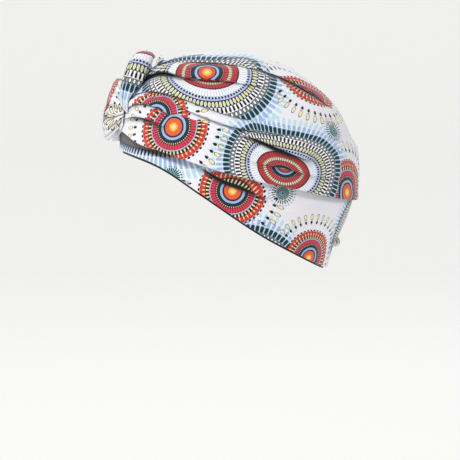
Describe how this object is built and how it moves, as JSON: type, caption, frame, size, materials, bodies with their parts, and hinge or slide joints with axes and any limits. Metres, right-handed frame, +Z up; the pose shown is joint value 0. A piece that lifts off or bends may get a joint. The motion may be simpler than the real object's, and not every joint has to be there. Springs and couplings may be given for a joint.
{
  "type": "turban headwrap",
  "caption": "Pre-tied soft turban cap of printed jersey, pleated back from a twisted knot over the brow, with a closed band down to the nape.",
  "frame": {"origin": "inside of the crown, where the top of the wearer's head touches", "axes": "+Z up through the wearer's crown, +Y towards the back of the head, +X towards the wearer's left"},
  "size_m": [0.1696, 0.2164, 0.1833],
  "materials": {
    "printed_jersey": "matte printed knit",
    "black_jersey": "matte knit"
  },
  "bodies": {
    "root": {"crown_wrap": "printed_jersey", "brow_band": "printed_jersey", "inner_band": "black_jersey", "knot_front_loop": "printed_jersey", "knot_wrap": "printed_jersey", "knot_tail": "printed_jersey", "nape_gather": "printed_jersey"}
  },
  "joints": []
}
